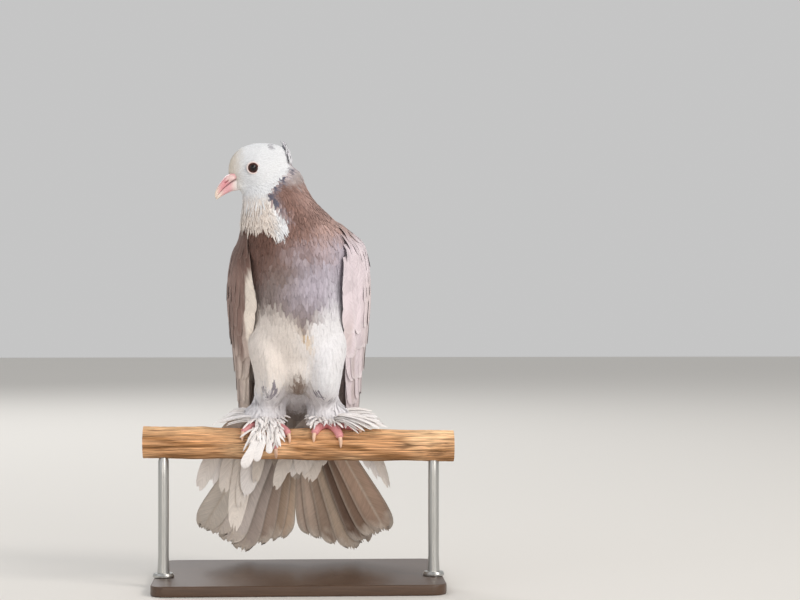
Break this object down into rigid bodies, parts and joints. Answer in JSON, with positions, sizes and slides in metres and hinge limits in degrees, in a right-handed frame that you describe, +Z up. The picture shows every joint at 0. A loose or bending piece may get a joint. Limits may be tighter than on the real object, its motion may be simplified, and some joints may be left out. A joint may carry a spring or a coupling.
{
  "type": "fantail pigeon model",
  "caption": "Life-size still model of an upright white, grey and brown fantail pigeon with feathered feet, gripping a short perch on a flat stand with two rods.",
  "frame": {"origin": "centre of the underside of the stand's base, where it rests on the floor; the perch runs along X 25 mm in front of it and 107 mm above it", "axes": "+Z up; the bird's body faces -Y; +X is the bird's left side; its head is turned towards -X"},
  "size_m": [0.232, 0.15, 0.3358],
  "materials": {
    "white_plumage": "soft matt feathers, white with a few dark flecks",
    "neck_plumage": "soft matt feathers, brown-pink with grey flecks and a faint gloss",
    "breast_plumage": "soft matt feathers, lavender-grey fading to a white belly",
    "wing_plumage": "smooth close vanes, pale lavender-pink on one wing and brown on the other",
    "tail_plumage": "smooth close vanes, taupe with pale frayed tips",
    "bill_horn": "satin horn, pink with a pale tip and a whitish cere",
    "eye_gloss": "wet gloss, near-black with a deep brown rim",
    "toe_skin": "scaly skin, pink",
    "claw_horn": "satin horn, pale orange-pink",
    "bark": "weathered stripped bark with long grain, orange-brown",
    "base_wood": "dark stained wood, satin",
    "rod_steel": "brushed steel"
  },
  "bodies": {
    "root": {"bill_lower": "bill_horn", "bill_upper": "bill_horn", "claw_left_hind": "claw_horn", "claw_left_inner": "claw_horn", "claw_left_middle": "claw_horn", "claw_left_outer": "claw_horn", "claw_right_hind": "claw_horn", "claw_right_inner": "claw_horn", "claw_right_middle": "claw_horn", "claw_right_outer": "claw_horn", "eye_left": "eye_gloss", "eye_right": "eye_gloss", "foot_left": "toe_skin", "foot_right": "toe_skin", "head": "white_plumage", "neck": "neck_plumage", "perch": "bark", "primaries_left": "wing_plumage", "primaries_right": "wing_plumage", "shank_left": "white_plumage", "shank_right": "white_plumage", "stand_base": "base_wood", "stand_rod_left": "rod_steel", "stand_rod_right": "rod_steel", "tail_left": "tail_plumage", "tail_right": "tail_plumage", "thigh_left": "white_plumage", "thigh_right": "white_plumage", "torso": "breast_plumage", "undertail_coverts": "tail_plumage", "uppertail_coverts": "tail_plumage", "wing_left": "wing_plumage", "wing_right": "wing_plumage"}
  },
  "joints": []
}
